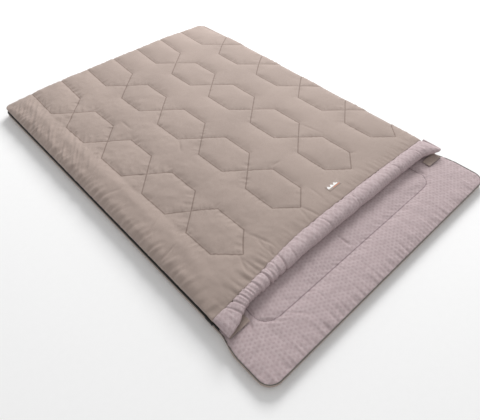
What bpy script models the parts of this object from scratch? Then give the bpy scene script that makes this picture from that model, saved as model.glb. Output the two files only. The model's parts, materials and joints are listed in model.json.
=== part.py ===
"""A double camp quilt: two padded quilts joined at the foot and zipped along both sides.

X runs across the width, +Y from the open head end to the foot, +Z up. The origin is at
the centre of the footprint, on the ground. All sizes are in metres.

The bottom quilt lies on the ground. The shorter cover quilt lies over it and turns on the
foot seam. Both quilts are built from the same edge profile, and the cover is the bottom
quilt's profile turned over about the height of the zip.
"""

from math import cos, pi, radians, sin, sqrt

import bmesh
import bpy
from mathutils import Vector

# Overall sizes
LENGTH = 2.12  # head end to foot end
WIDTH = 1.44  # fabric edge to fabric edge, where the quilts are zipped together
HEAD_FLARE = 0.022  # each side, where the bottom quilt lies free and flat at the head
COVER_LENGTH = 1.835  # foot hinge to the front of the cuff
LOFT = 0.038  # thickness of one quilt
SLEEP_GAP = 0.010  # space left between the two linings
CLEARANCE = 0.0003  # gap kept between neighbouring pieces

# Quilt edges
SKIN = 0.0015  # cloth and its backing
HEAD_CORNER = 0.060
FOOT_CORNER = 0.045
COVER_CORNER = 0.012
EDGE_ROUND = 0.034  # how far in the outer cloth starts to curve away from its flat
LINING_ROUND = 0.040  # how far in the lining starts to curve down to the seam
SEAM_INSET = 0.004  # side seam, in from the widest line of the edge
SEAM_DROP = 0.006  # side seam, below the lining
BULGE_DROP = 0.014  # widest line of the edge, below the side seam
FLARE_LENGTH = 0.110  # over which the free head end widens
PROFILE_STEPS = 3
CORNER_STEPS = 5
FLARE_STEPS = 4

# Piping round the bottom quilt
PIPING_RADIUS = 0.002
PIPING_OUT = 0.0026  # from the seam to the piping's centre, outwards
PIPING_UP = 0.0012

# Foot seam
FOOT_CORD_RADIUS = 0.005
FOOT_SETBACK = 0.003  # quilt edges, in from the hinge line
FOOT_LEG_WIDTH = 0.002

# Cuff, draught tubes and badge on the cover
CUFF_DEPTH = 0.080
CUFF_RISE = 0.008  # cuff, above the cover's outer cloth
CUFF_ROUND = 0.024
CUFF_CORNER = 0.027
CUFF_END_INSET = 0.002
TUBE_WIDTH = 0.026
TUBE_FLOOR_GAP = 0.0014  # tube, above the bottom lining
TUBE_INSET = 0.022  # from the fabric edge to the tube's outer side
TUBE_ROUND = 0.004
BADGE_SIZE = (0.080, 0.030, 0.001)
BADGE_X = 0.117
BADGE_FROM_CUFF = 0.068  # cuff seam to the badge's near edge

# Zips
TAPE_THICK = 0.0012
COIL_THICK = 0.0030
COIL_HEIGHT = 0.0036
WEB_HALF = 0.0011  # half the slider web that keeps the two coils apart
ZIP_FOOT_MARGIN = 0.010  # zip end, short of the foot corner
TAPE_HEAD_MARGIN = 0.002  # tape end, short of the cuff's front
STOP_START = 0.004
STOP_LENGTH = 0.006
STOP_PROUD = 0.0006
SLIDER_LENGTH = 0.022
SLIDER_HALF_HEIGHT = 0.007
SLIDER_FROM_FRONT = 0.030  # cuff front to the slider's middle
OUTER_PLATE = 0.0018
INNER_PLATE = 0.0015
WEB_LENGTH = 0.010
BAR_SIZE = 0.0022
BAR_SHIFT = 0.004  # bar, footwards of the slider's middle
EAR_THICK = 0.0015
PULL_LENGTH = 0.038
PULL_WIDTH = 0.0084
PULL_THICK = 0.0018
EYE_FIT = 0.00034  # eye hole, round the corners of the square bar
EYE_WALL = 0.001
EYE_PLATE_GAP = 0.0004  # eye, off the slider's outer plate

# Guard tabs over the zip ends
GUARD_LENGTH = 0.100
GUARD_WIDTH = 0.045
GUARD_THICK = 0.002
GUARD_HINGE_INSET = 0.009
GUARD_PULL_CLEARANCE = 0.003  # tab, clear of the pull's swing
PATCH_LENGTH = 0.030
PATCH_MARGIN = 0.005
PATCH_THICK = 0.001

# Heights and places that follow
HINGE_Z = LOFT + SLEEP_GAP / 2
HINGE_Y = LENGTH / 2 - FOOT_CORD_RADIUS
SEAM_Z = LOFT - SEAM_DROP
BULGE_Z = SEAM_Z - BULGE_DROP
EDGE_X = WIDTH / 2
FOOT_Y = HINGE_Y - FOOT_SETBACK
HEAD_Y = -LENGTH / 2 + PIPING_RADIUS + PIPING_OUT - SEAM_INSET
COVER_FRONT_Y = HINGE_Y - COVER_LENGTH
CUFF_BACK_Y = COVER_FRONT_Y + CUFF_DEPTH
TAPE_OUT = SEAM_INSET  # insets from the fabric edge: the tape's outer face
TAPE_IN = TAPE_OUT + TAPE_THICK
COIL_IN = TAPE_OUT - CLEARANCE
COIL_OUT = COIL_IN - COIL_THICK
COIL_NEAR = WEB_HALF + CLEARANCE  # coil, from the height of the zip
COIL_FAR = COIL_NEAR + COIL_HEIGHT
ZIP_FOOT_Y = FOOT_Y - FOOT_CORNER - ZIP_FOOT_MARGIN
STOP_HEAD_Y = COVER_FRONT_Y + STOP_START
COIL_HEAD_Y = STOP_HEAD_Y + STOP_LENGTH + CLEARANCE
SLIDER_Y = COVER_FRONT_Y + SLIDER_FROM_FRONT
PLATE_OUT = COIL_OUT - CLEARANCE - OUTER_PLATE
EYE_HOLE_RADIUS = BAR_SIZE * sqrt(0.5) + EYE_FIT
EYE_RADIUS = EYE_HOLE_RADIUS + EYE_WALL
BAR_X = EDGE_X - PLATE_OUT + EYE_RADIUS + EYE_PLATE_GAP
BAR_Y = SLIDER_Y + BAR_SHIFT
GUARD_FOOT_Y = BAR_Y - PULL_LENGTH - GUARD_PULL_CLEARANCE
GUARD_HEAD_Y = GUARD_FOOT_Y - GUARD_WIDTH
GUARD_LOW_Z = LOFT + 2 * PATCH_THICK + 3 * CLEARANCE
GUARD_HINGE_X = EDGE_X - GUARD_HINGE_INSET
GUARD_HINGE_Z = GUARD_LOW_Z + GUARD_THICK / 2

SIDES = (("left", -1), ("right", 1))

# Colour, roughness and metallic value of each finish
FINISHES = {
    "outer_cloth": ((0.41, 0.34, 0.30), 0.80, 0.0),
    "lining_cloth": ((0.50, 0.41, 0.42), 0.85, 0.0),
    "fibre_filling": ((0.85, 0.85, 0.83), 0.95, 0.0),
    "piping_cloth": ((0.13, 0.13, 0.11), 0.70, 0.0),
    "zip_tape": ((0.10, 0.10, 0.09), 0.80, 0.0),
    "zip_coil": ((0.04, 0.04, 0.04), 0.45, 0.0),
    "slider_metal": ((0.06, 0.06, 0.06), 0.40, 0.8),
    "fastening_tape": ((0.20, 0.18, 0.17), 0.90, 0.0),
    "badge_cloth": ((0.85, 0.84, 0.82), 0.60, 0.0),
}


def finish(name):
    """The finish's material, made once."""
    found = bpy.data.materials.get(name)
    if found:
        return found
    colour, roughness, metallic = FINISHES[name]
    made = bpy.data.materials.new(name)
    made.use_nodes = True
    shader = made.node_tree.nodes["Principled BSDF"]
    shader.inputs["Base Color"].default_value = (*colour, 1.0)
    shader.inputs["Roughness"].default_value = roughness
    shader.inputs["Metallic"].default_value = metallic
    return made


def add_object(name, data, finish_name):
    obj = bpy.data.objects.new(name, data)
    data.materials.append(finish(finish_name))
    bpy.context.scene.collection.objects.link(obj)
    return obj


def add_solid(name, bm, finish_name):
    """An object from a closed bmesh, with its faces turned outwards."""
    bmesh.ops.recalc_face_normals(bm, faces=bm.faces)
    mesh = bpy.data.meshes.new(name)
    bm.to_mesh(mesh)
    bm.free()
    return add_object(name, mesh, finish_name)


def add_axis(name, place):
    """An empty on a joint's axis, to which the pieces that turn about it are parented."""
    empty = bpy.data.objects.new(name, None)
    empty.location = place
    bpy.context.scene.collection.objects.link(empty)
    return empty


def hang_on(axis, pieces):
    """Parent the pieces to the axis without moving them."""
    bpy.context.view_layer.update()
    for piece in pieces:
        piece.parent = axis
        piece.matrix_parent_inverse = axis.matrix_world.inverted()


# Shapes


class Outline:
    """A rectangle in plan, with a corner radius at each end, that may widen at its head end."""

    def __init__(self, x_range, y_range, head_corner, foot_corner, flare=0.0, flare_y=0.0):
        self.x_low, self.x_high = x_range
        self.y_low, self.y_high = y_range
        self.head_corner = head_corner
        self.foot_corner = foot_corner
        self.flare = flare
        self.flare_y = flare_y

    def side_points(self, side, inset, z):
        """Points down one side through the stretch where it widens, from the foot end on."""
        points = []
        for step in range(FLARE_STEPS + 1 if self.flare else 0):
            share = step / FLARE_STEPS
            spread = self.flare * share * share * (3 - 2 * share)
            x = self.x_high if side > 0 else self.x_low
            points.append(
                Vector((x + side * (spread - inset), self.flare_y - FLARE_LENGTH * share, z))
            )
        return points

    def ring(self, inset, z):
        """Points round the outline, moved in by inset, counter-clockwise from +X."""
        wide_low, wide_high = self.x_low - self.flare, self.x_high + self.flare
        corners = (
            (self.x_high, 1, self.y_high, 1, self.foot_corner),
            (self.x_low, -1, self.y_high, 1, self.foot_corner),
            (wide_low, -1, self.y_low, -1, self.head_corner),
            (wide_high, 1, self.y_low, -1, self.head_corner),
        )
        points = []
        for quarter, (x, x_side, y, y_side, corner) in enumerate(corners):
            if quarter == 2:
                points += self.side_points(-1, inset, z)
            radius = max(corner - inset, SKIN)
            centre_x = x - x_side * (inset + radius)
            centre_y = y - y_side * (inset + radius)
            for step in range(CORNER_STEPS + 1):
                turn = pi / 2 * (quarter + step / CORNER_STEPS)
                points.append(
                    Vector((centre_x + radius * cos(turn), centre_y + radius * sin(turn), z))
                )
        return points + self.side_points(1, inset, z)[::-1]


def loft(name, outline, profile, finish_name, turned=False):
    """A closed solid through the outline's rings at each (inset, z) of the profile."""
    bm = bmesh.new()
    rings = []
    for inset, z in profile:
        height = 2 * HINGE_Z - z if turned else z
        rings.append([bm.verts.new(point) for point in outline.ring(inset, height)])
    for lower, upper in zip(rings, rings[1:]):
        for k in range(len(lower)):
            after = (k + 1) % len(lower)
            bm.faces.new((lower[k], lower[after], upper[after], upper[k]))
    bm.faces.new(rings[0])
    bm.faces.new(rings[-1])
    return add_solid(name, bm, finish_name)


def quarter_turns():
    return [pi / 2 * step / PROFILE_STEPS for step in range(PROFILE_STEPS + 1)]


def outer_profile():
    """The outer cloth's edge, as (inset, z): from its flat face out, up and in to the seam."""
    under = [
        (EDGE_ROUND * (1 - sin(turn)), BULGE_Z * (1 - cos(turn))) for turn in quarter_turns()
    ]
    rise = SEAM_Z - BULGE_Z
    above = [
        (SEAM_INSET * (1 - cos(turn)), BULGE_Z + rise * sin(turn)) for turn in quarter_turns()[1:]
    ]
    return under + above


def lining_profile():
    """The lining's edge, as (inset, z): from the seam up and in to its flat face."""
    start = SEAM_Z + CLEARANCE
    return [
        (SEAM_INSET + (LINING_ROUND - SEAM_INSET) * (1 - cos(turn)), start + (LOFT - start) * sin(turn))
        for turn in quarter_turns()
    ]


def moved_in(profile, distance, start):
    """The profile moved towards the filling by distance.

    start is the way the profile sets off, and every profile ends level, running inwards.
    """
    moved = []
    for k, (inset, z) in enumerate(profile):
        if k == 0:
            along = Vector(start)
        elif k == len(profile) - 1:
            along = Vector((1, 0))
        else:
            before = profile[k - 1]
            after = profile[k + 1]
            along = Vector((after[0] - before[0], after[1] - before[1])).normalized()
        moved.append((inset + distance * along.y, z - distance * along.x))
    return moved


def height_at(profile, inset):
    """The height of the lining's edge at an inset."""
    for (inset_a, z_a), (inset_b, z_b) in zip(profile, profile[1:]):
        if inset_a <= inset <= inset_b:
            return z_a + (z_b - z_a) * (inset - inset_a) / (inset_b - inset_a)
    return profile[-1][1]


def round_profile(z_low, z_high, round_in):
    """A half-round side between two flat faces."""
    middle = (z_low + z_high) / 2
    half = (z_high - z_low) / 2
    turns = [pi * step / (2 * PROFILE_STEPS) for step in range(2 * PROFILE_STEPS + 1)]
    return [(round_in * (1 - sin(turn)), middle - half * cos(turn)) for turn in turns]


def box(name, x_range, y_range, z_range, finish_name):
    low = Vector((min(x_range), min(y_range), min(z_range)))
    high = Vector((max(x_range), max(y_range), max(z_range)))
    bm = bmesh.new()
    bmesh.ops.create_cube(bm, size=1.0)
    bmesh.ops.scale(bm, vec=high - low, verts=bm.verts)
    bmesh.ops.translate(bm, vec=(low + high) / 2, verts=bm.verts)
    return add_solid(name, bm, finish_name)


def side_box(name, side, insets, y_range, heights, finish_name):
    """A box at the side, from its insets and its heights above the zip."""
    x_range = [side * (EDGE_X - inset) for inset in insets]
    z_range = [HINGE_Z + height for height in heights]
    return box(name, x_range, y_range, z_range, finish_name)


def extruded(name, points, depth, finish_name):
    """A flat outline of points, extruded by the depth vector."""
    bm = bmesh.new()
    face = bm.faces.new([bm.verts.new(point) for point in points])
    made = bmesh.ops.extrude_face_region(bm, geom=[face], use_keep_orig=True)
    moved = [item for item in made["geom"] if isinstance(item, bmesh.types.BMVert)]
    bmesh.ops.translate(bm, vec=depth, verts=moved)
    return add_solid(name, bm, finish_name)


def combine(obj, tool, operation):
    """Cut the tool from the object, or join it on, and keep the tool as a guide."""
    tool.hide_render = True
    tool.display_type = "WIRE"
    modifier = obj.modifiers.new(tool.name, "BOOLEAN")
    modifier.operation = operation
    modifier.solver = "EXACT"
    modifier.object = tool


# Quilts


def quilt_layers(prefix, outline, turned):
    """The outer cloth, the filling and the lining of one quilt."""
    outer = outer_profile()
    lining = lining_profile()
    outwards, upwards = (-1, 0), (0, 1)
    shell = outer + moved_in(outer, SKIN, outwards)[::-1]
    facing = lining[::-1] + moved_in(lining, SKIN, upwards)
    packed = SKIN + CLEARANCE
    under = moved_in(outer, packed, outwards)[:-1]
    over = moved_in(lining, packed, upwards)[1:]
    filling = under + over
    return [
        loft(f"{prefix}_outer_shell", outline, shell, "outer_cloth", turned),
        loft(f"{prefix}_filling", outline, filling, "fibre_filling", turned),
        loft(f"{prefix}_lining", outline, facing, "lining_cloth", turned),
    ]


def bottom_quilt():
    outline = Outline(
        (-EDGE_X, EDGE_X),
        (HEAD_Y, FOOT_Y),
        HEAD_CORNER,
        FOOT_CORNER,
        flare=HEAD_FLARE,
        flare_y=COVER_FRONT_Y - GUARD_PULL_CLEARANCE,
    )
    quilt_layers("bottom", outline, turned=False)
    piping_line = outline.ring(SEAM_INSET - PIPING_OUT, SEAM_Z + PIPING_UP)
    curve = bpy.data.curves.new("bottom_piping", "CURVE")
    curve.dimensions = "3D"
    curve.bevel_depth = PIPING_RADIUS
    curve.bevel_resolution = 1
    spline = curve.splines.new("POLY")
    spline.points.add(len(piping_line) - 1)
    for point, place in zip(spline.points, piping_line):
        point.co = (*place, 1.0)
    spline.use_cyclic_u = True
    add_object("bottom_piping", curve, "piping_cloth")


def foot_binding():
    """A cord on the hinge line, with a leg down to the bottom quilt's seam."""
    half_x = EDGE_X - FOOT_CORNER
    leg_inset = SEAM_INSET + CLEARANCE + FOOT_LEG_WIDTH
    leg_foot = height_at(lining_profile(), leg_inset) + CLEARANCE - HINGE_Z
    round_part = []
    for degrees in range(-120, 211, 30):
        turn = radians(degrees)
        round_part.append((FOOT_CORD_RADIUS * cos(turn), FOOT_CORD_RADIUS * sin(turn)))
    leg = [
        (-(FOOT_SETBACK + leg_inset), leg_foot),
        (-(FOOT_SETBACK + leg_inset - FOOT_LEG_WIDTH), leg_foot),
    ]
    points = [Vector((-half_x, HINGE_Y + y, HINGE_Z + z)) for y, z in round_part + leg]
    extruded("foot_binding", points, Vector((2 * half_x, 0, 0)), "piping_cloth")


def cover_quilt(axis):
    slab_head_y = CUFF_BACK_Y + CLEARANCE
    outline = Outline((-EDGE_X, EDGE_X), (slab_head_y, FOOT_Y), COVER_CORNER, FOOT_CORNER)
    pieces = quilt_layers("top", outline, turned=True)

    cuff_x = EDGE_X - CUFF_END_INSET
    cuff_outline = Outline(
        (-cuff_x, cuff_x), (COVER_FRONT_Y, CUFF_BACK_Y), CUFF_CORNER, CUFF_CORNER
    )
    cuff_low_z = LOFT + SLEEP_GAP + CLEARANCE
    cuff_profile = round_profile(cuff_low_z, 2 * HINGE_Z + CUFF_RISE, CUFF_ROUND)
    pieces.append(loft("head_cuff", cuff_outline, cuff_profile, "lining_cloth"))

    tube_low_z = LOFT + TUBE_FLOOR_GAP
    tube_high_z = LOFT + SLEEP_GAP - 2 * CLEARANCE
    tube_profile = round_profile(tube_low_z, tube_high_z, TUBE_ROUND)
    for side_name, side in SIDES:
        outer_x = side * (EDGE_X - TUBE_INSET)
        inner_x = outer_x - side * TUBE_WIDTH
        tube_outline = Outline(
            sorted((outer_x, inner_x)), (slab_head_y, ZIP_FOOT_Y), TUBE_ROUND, TUBE_ROUND
        )
        pieces.append(
            loft(f"draught_tube_{side_name}", tube_outline, tube_profile, "lining_cloth")
        )

    badge_x, badge_y, badge_z = BADGE_SIZE
    badge_low_y = CUFF_BACK_Y + BADGE_FROM_CUFF
    badge_low_z = 2 * HINGE_Z + CLEARANCE
    pieces.append(
        box(
            "badge",
            (BADGE_X - badge_x / 2, BADGE_X + badge_x / 2),
            (badge_low_y, badge_low_y + badge_y),
            (badge_low_z, badge_low_z + badge_z),
            "badge_cloth",
        )
    )
    hang_on(axis, pieces)


# Zips


def zip_half(side_name, side, level, up):
    """The tape, coil and end stop on one quilt; up is 1 on the cover and -1 below it."""
    tape_far = HINGE_Z - height_at(lining_profile(), TAPE_IN) - CLEARANCE
    tape_y = (COVER_FRONT_Y + TAPE_HEAD_MARGIN, ZIP_FOOT_Y)
    stop_y = (STOP_HEAD_Y, STOP_HEAD_Y + STOP_LENGTH)
    return [
        side_box(
            f"zip_tape_{level}_{side_name}",
            side,
            (TAPE_OUT, TAPE_IN),
            tape_y,
            (up * WEB_HALF, up * tape_far),
            "zip_tape",
        ),
        side_box(
            f"zip_coil_{level}_{side_name}",
            side,
            (COIL_OUT, COIL_IN),
            (COIL_HEAD_Y, ZIP_FOOT_Y),
            (up * COIL_NEAR, up * COIL_FAR),
            "zip_coil",
        ),
        side_box(
            f"zip_stop_{level}_{side_name}",
            side,
            (COIL_OUT - STOP_PROUD, COIL_IN),
            stop_y,
            (up * COIL_NEAR, up * (COIL_FAR + STOP_PROUD)),
            "slider_metal",
        ),
    ]


def slider(side_name, side):
    """Two plates round both coils, joined by a web; the cover's channel is open at the top."""
    y_range = (SLIDER_Y - SLIDER_LENGTH / 2, SLIDER_Y + SLIDER_LENGTH / 2)
    past_y = (y_range[0] - SLIDER_LENGTH, y_range[1] + SLIDER_LENGTH)
    room = (COIL_OUT - CLEARANCE, TAPE_IN + CLEARANCE)
    tape_room = (TAPE_OUT - CLEARANCE, TAPE_IN + CLEARANCE)
    past_z = 2 * SLIDER_HALF_HEIGHT
    casting = side_box(
        f"zip_slider_{side_name}",
        side,
        (PLATE_OUT, TAPE_IN + CLEARANCE + INNER_PLATE),
        y_range,
        (-SLIDER_HALF_HEIGHT, SLIDER_HALF_HEIGHT),
        "slider_metal",
    )
    cuts = (
        ("upper_channel", room, past_y, (WEB_HALF, past_z)),
        ("lower_channel", room, past_y, (-WEB_HALF, -COIL_FAR - CLEARANCE)),
        ("tape_slot", tape_room, past_y, (-COIL_FAR, -past_z)),
        ("closed_side", room, (y_range[0] + WEB_LENGTH, past_y[1]), (-COIL_NEAR, COIL_NEAR)),
    )
    for cut_name, insets, cut_y, heights in cuts:
        cutter = side_box(f"{cut_name}_{side_name}", side, insets, cut_y, heights, "slider_metal")
        combine(casting, cutter, "DIFFERENCE")

    plate_x = EDGE_X - PLATE_OUT
    sunk_x = plate_x - OUTER_PLATE / 2
    near_x = BAR_X - BAR_SIZE / 2
    far_x = BAR_X + BAR_SIZE / 2
    window = PULL_WIDTH / 2 + CLEARANCE
    ear = window + EAR_THICK
    bail = [
        (sunk_x, -ear),
        (far_x, -ear),
        (far_x, ear),
        (sunk_x, ear),
        (sunk_x, window),
        (near_x, window),
        (near_x, -window),
        (sunk_x, -window),
    ]
    points = [Vector((side * x, BAR_Y - BAR_SIZE / 2, HINGE_Z + z)) for x, z in bail]
    depth = Vector((0, BAR_SIZE, 0))
    combine(casting, extruded(f"bail_{side_name}", points, depth, "slider_metal"), "UNION")
    return casting


def pull(side_name, side):
    """A flat tab with a rolled eye round the slider's bar, lying back along the zip."""
    low_z = HINGE_Z - PULL_WIDTH / 2
    half = PULL_THICK / 2
    eye = []
    for degrees in range(120, 421, 30):
        turn = radians(degrees)
        eye.append((EYE_RADIUS * cos(turn), EYE_RADIUS * sin(turn)))
    neck_y = EYE_RADIUS + half
    tab = [(half, neck_y), (half, PULL_LENGTH), (-half, PULL_LENGTH), (-half, neck_y)]
    points = [Vector((side * (BAR_X + x), BAR_Y + y, low_z)) for x, y in eye + tab]
    tab_piece = extruded(f"zip_pull_{side_name}", points, Vector((0, 0, PULL_WIDTH)), "slider_metal")

    bm = bmesh.new()
    bmesh.ops.create_cone(
        bm,
        cap_ends=True,
        segments=12,
        radius1=EYE_HOLE_RADIUS,
        radius2=EYE_HOLE_RADIUS,
        depth=2 * PULL_WIDTH,
    )
    bmesh.ops.translate(bm, vec=(side * BAR_X, BAR_Y, HINGE_Z), verts=bm.verts)
    combine(tab_piece, add_solid(f"eye_hole_{side_name}", bm, "slider_metal"), "DIFFERENCE")
    return tab_piece


# Guard tabs


def guard(side_name, side):
    """A cloth tab over the zip's end, and its fastening patches on the tab and the lining."""
    tip_x = GUARD_HINGE_X - GUARD_LENGTH
    patch_x = (side * (tip_x + PATCH_MARGIN), side * (tip_x + PATCH_MARGIN + PATCH_LENGTH))
    patch_y = (GUARD_HEAD_Y + PATCH_MARGIN, GUARD_FOOT_Y - PATCH_MARGIN)
    loop_z = LOFT + CLEARANCE
    hook_z = loop_z + PATCH_THICK + CLEARANCE
    box(
        f"loop_patch_{side_name}", patch_x, patch_y, (loop_z, loop_z + PATCH_THICK), "fastening_tape"
    )
    hook = box(
        f"hook_patch_{side_name}", patch_x, patch_y, (hook_z, hook_z + PATCH_THICK), "fastening_tape"
    )
    half = GUARD_THICK / 2
    rolled = [radians(degrees) for degrees in range(-90, 91, 45)]
    section = [(half * cos(turn), half * sin(turn)) for turn in rolled]
    section += [(-GUARD_LENGTH, half), (-GUARD_LENGTH, -half)]
    points = [
        Vector((side * (GUARD_HINGE_X + x), GUARD_HEAD_Y, GUARD_HINGE_Z + z)) for x, z in section
    ]
    depth = Vector((0, GUARD_WIDTH, 0))
    return [extruded(f"zip_guard_{side_name}", points, depth, "outer_cloth"), hook]


def build():
    for obj in list(bpy.data.objects):
        bpy.data.objects.remove(obj)
    bottom_quilt()
    foot_binding()
    cover_axis = add_axis("cover_axis", (0, HINGE_Y, HINGE_Z))
    cover_quilt(cover_axis)
    for side_name, side in SIDES:
        zip_half(side_name, side, "lower", -1)
        hang_on(cover_axis, zip_half(side_name, side, "upper", 1))
        travel = add_axis(f"slider_travel_{side_name}", (side * EDGE_X, SLIDER_Y, HINGE_Z))
        hang_on(travel, [slider(side_name, side)])
        pull_axis = add_axis(f"pull_axis_{side_name}", (side * BAR_X, BAR_Y, HINGE_Z))
        hang_on(pull_axis, [pull(side_name, side)])
        guard_place = (side * GUARD_HINGE_X, GUARD_HEAD_Y, GUARD_HINGE_Z)
        hang_on(add_axis(f"guard_axis_{side_name}", guard_place), guard(side_name, side))


build()
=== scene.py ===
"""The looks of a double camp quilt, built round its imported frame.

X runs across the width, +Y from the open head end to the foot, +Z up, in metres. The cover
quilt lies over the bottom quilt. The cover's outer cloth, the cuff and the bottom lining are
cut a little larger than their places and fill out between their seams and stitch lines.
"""

import json
from math import cos, hypot, pi, sin, sqrt

import bmesh
import bpy
from bpy.props import FloatProperty, FloatVectorProperty, IntProperty, PointerProperty
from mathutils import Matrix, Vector, noise
from mathutils.bvhtree import BVHTree


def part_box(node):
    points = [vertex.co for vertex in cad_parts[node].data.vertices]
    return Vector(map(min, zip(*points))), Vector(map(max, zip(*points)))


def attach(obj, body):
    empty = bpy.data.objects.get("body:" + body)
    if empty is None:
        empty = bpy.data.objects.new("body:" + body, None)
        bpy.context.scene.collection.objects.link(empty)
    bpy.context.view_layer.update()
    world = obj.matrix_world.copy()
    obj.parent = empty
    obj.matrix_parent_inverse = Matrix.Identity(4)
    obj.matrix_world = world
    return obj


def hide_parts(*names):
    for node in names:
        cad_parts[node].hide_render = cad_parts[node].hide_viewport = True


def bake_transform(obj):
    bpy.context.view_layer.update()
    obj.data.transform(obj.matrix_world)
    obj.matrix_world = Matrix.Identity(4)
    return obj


bl_info = {
    "name": "Double camp quilt",
    "version": (1, 0, 0),
    "blender": (4, 5, 0),
    "location": "3D View > Sidebar > Camp Quilt",
    "description": "Makes the cloth, filling, zips and tabs of a double camp quilt",
    "category": "Add Mesh",
}

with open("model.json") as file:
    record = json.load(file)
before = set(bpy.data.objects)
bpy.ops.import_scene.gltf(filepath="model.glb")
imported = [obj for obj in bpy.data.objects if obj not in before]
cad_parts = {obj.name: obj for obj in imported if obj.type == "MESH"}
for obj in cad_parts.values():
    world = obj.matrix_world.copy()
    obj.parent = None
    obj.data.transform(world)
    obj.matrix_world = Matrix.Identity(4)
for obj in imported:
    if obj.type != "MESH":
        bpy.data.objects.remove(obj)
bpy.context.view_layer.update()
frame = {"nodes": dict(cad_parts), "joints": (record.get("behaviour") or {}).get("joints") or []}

# Places taken from the frame
SHELL_LOW, SHELL_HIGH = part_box("top_outer_shell")
BASE_LOW, BASE_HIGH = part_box("bottom_outer_shell")
CUFF_LOW, CUFF_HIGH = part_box("head_cuff")
LINING_LOW, LINING_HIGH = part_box("bottom_lining")
COVER_LINING_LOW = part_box("top_lining")[0]
HINGE = Vector(next(j for j in frame["joints"] if j["name"] == "cover_fold")["pos_m"])
EDGE_X = SHELL_HIGH.x
FOOT_Y = SHELL_HIGH.y
HEAD_Y = BASE_LOW.y
COVER_Z = SHELL_HIGH.z
SEAM_Z = SHELL_LOW.z
LINING_Z = LINING_HIGH.z
FLARE = BASE_HIGH.x - EDGE_X

# The quilts' edges, as the frame has them
SEAM_INSET = 0.004
BULGE_DROP = 0.014
EDGE_ROUND = 0.034
LINING_ROUND = 0.040
HEAD_CORNER = 0.060
FOOT_CORNER = 0.045
FLARE_START = -0.783
FLARE_LENGTH = 0.110
CLOTH = 0.0009  # thickness of one cloth
CREASE_REACH = 0.009  # how far a short fold reaches to each side
AT_STITCH = 0.0006  # a vertex nearer than this lies on a stitch line
FARTHEST_STITCH = 0.02  # distances beyond this all count the same

# Cloth beyond the plan's edge, along the curve down to the seam
SEAM_RUN = 0.0155
EDGE_RUN = 0.0425
SPARE = SEAM_RUN + EDGE_RUN - EDGE_ROUND

SIDES = (("left", -1), ("right", 1))


class QuiltSizes(bpy.types.PropertyGroup):
    """Sizes of the quilting and of how full the cloth lies."""

    column_pitch: FloatProperty(
        name="Column pitch",
        description="Between the middles of two columns of hexagons",
        default=0.3587,
        unit="LENGTH",
    )
    first_column: FloatProperty(
        name="First column",
        description="Middle of the column nearest the left zip",
        default=-0.458,
        unit="LENGTH",
    )
    row_pitch: FloatProperty(
        name="Row pitch",
        description="Between two crossings of the stitch lines in a column",
        default=0.3323,
        unit="LENGTH",
    )
    first_crossing: FloatProperty(
        name="First crossing",
        description="Crossing nearest the foot seam",
        default=0.727,
        unit="LENGTH",
    )
    half_width: FloatProperty(
        name="Half width",
        description="From a hexagon's middle to its straight side",
        default=0.0925,
        unit="LENGTH",
    )
    point_height: FloatProperty(
        name="Point height",
        description="From a crossing to the start of a hexagon's straight side",
        default=0.080,
        unit="LENGTH",
    )
    stitch_depth: FloatProperty(
        name="Stitch depth",
        description="How far a stitch line lies below the cloth",
        default=0.0060,
        unit="LENGTH",
    )
    slack_left: FloatProperty(
        name="Slack at the left",
        description="Spare cloth near the left zip, as a share of its size",
        default=0.045,
        subtype="FACTOR",
    )
    slack_right: FloatProperty(
        name="Slack at the right",
        description="Spare cloth near the right zip, as a share of its size",
        default=0.017,
        subtype="FACTOR",
    )
    puff_frames: IntProperty(
        name="Puff frames",
        description="Steps in which a cloth fills out",
        default=14,
    )
    puff_pressure: FloatProperty(
        name="Puff pressure",
        description="How hard the filling pushes the cloth out",
        default=4.5,
    )


class QuiltColours(bpy.types.PropertyGroup):
    """Colours of the finishes, as linear values."""

    outer: FloatVectorProperty(
        name="Outer cloth", description="Brushed microfibre", subtype="COLOR", default=(0.405, 0.321, 0.282)
    )
    lining: FloatVectorProperty(
        name="Lining", description="Printed cotton blend", subtype="COLOR", default=(0.462, 0.361, 0.370)
    )
    lining_print: FloatVectorProperty(
        name="Lining print", description="Pale lattice", subtype="COLOR", default=(0.540, 0.442, 0.450)
    )
    piping: FloatVectorProperty(
        name="Piping", description="Woven edge cord", subtype="COLOR", default=(0.10, 0.098, 0.085)
    )
    zips: FloatVectorProperty(
        name="Zips", description="Tapes and coils", subtype="COLOR", default=(0.022, 0.021, 0.019)
    )


class QuiltStage(bpy.types.PropertyGroup):
    """The floor, the lights and the camera."""

    eye: FloatVectorProperty(
        name="Camera place",
        description="Where the camera stands",
        default=(-1.1679, -1.3737, 1.5273),
        subtype="TRANSLATION",
    )
    aim: FloatVectorProperty(
        name="Camera aim",
        description="Point that the camera looks at",
        default=(-0.2421, -0.3789, 0.0),
        subtype="TRANSLATION",
    )
    lens: FloatProperty(name="Lens", description="Focal length in millimetres", default=33.26)
    lamp: FloatVectorProperty(
        name="Lamp place",
        description="Where the soft key light hangs",
        default=(4.3, 2.9, 3.7),
        subtype="TRANSLATION",
    )
    key: FloatProperty(name="Key light", description="Power of the soft key light in watts", default=400.0)
    sky: FloatProperty(name="Sky", description="Strength of the light from all round", default=0.58)


# Small tools


def smooth(low, high, value):
    """0 below low, 1 above high, and a soft rise between them."""
    share = min(1.0, max(0.0, (value - low) / (high - low)))
    return share * share * (3 - 2 * share)


def ripple(place, size, seed=0.0):
    """Soft noise between -1 and 1, with bumps of about the given size."""
    return noise.noise(Vector((place[0] / size + seed, place[1] / size - seed, seed)))


def stops(start, *runs):
    """Grid lines from start through the end of each run, each run cut into equal cells."""
    lines = [start]
    for end, cells in runs:
        first = lines[-1]
        lines += [first + (end - first) * (k + 1) / cells for k in range(cells)]
    return lines


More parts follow.
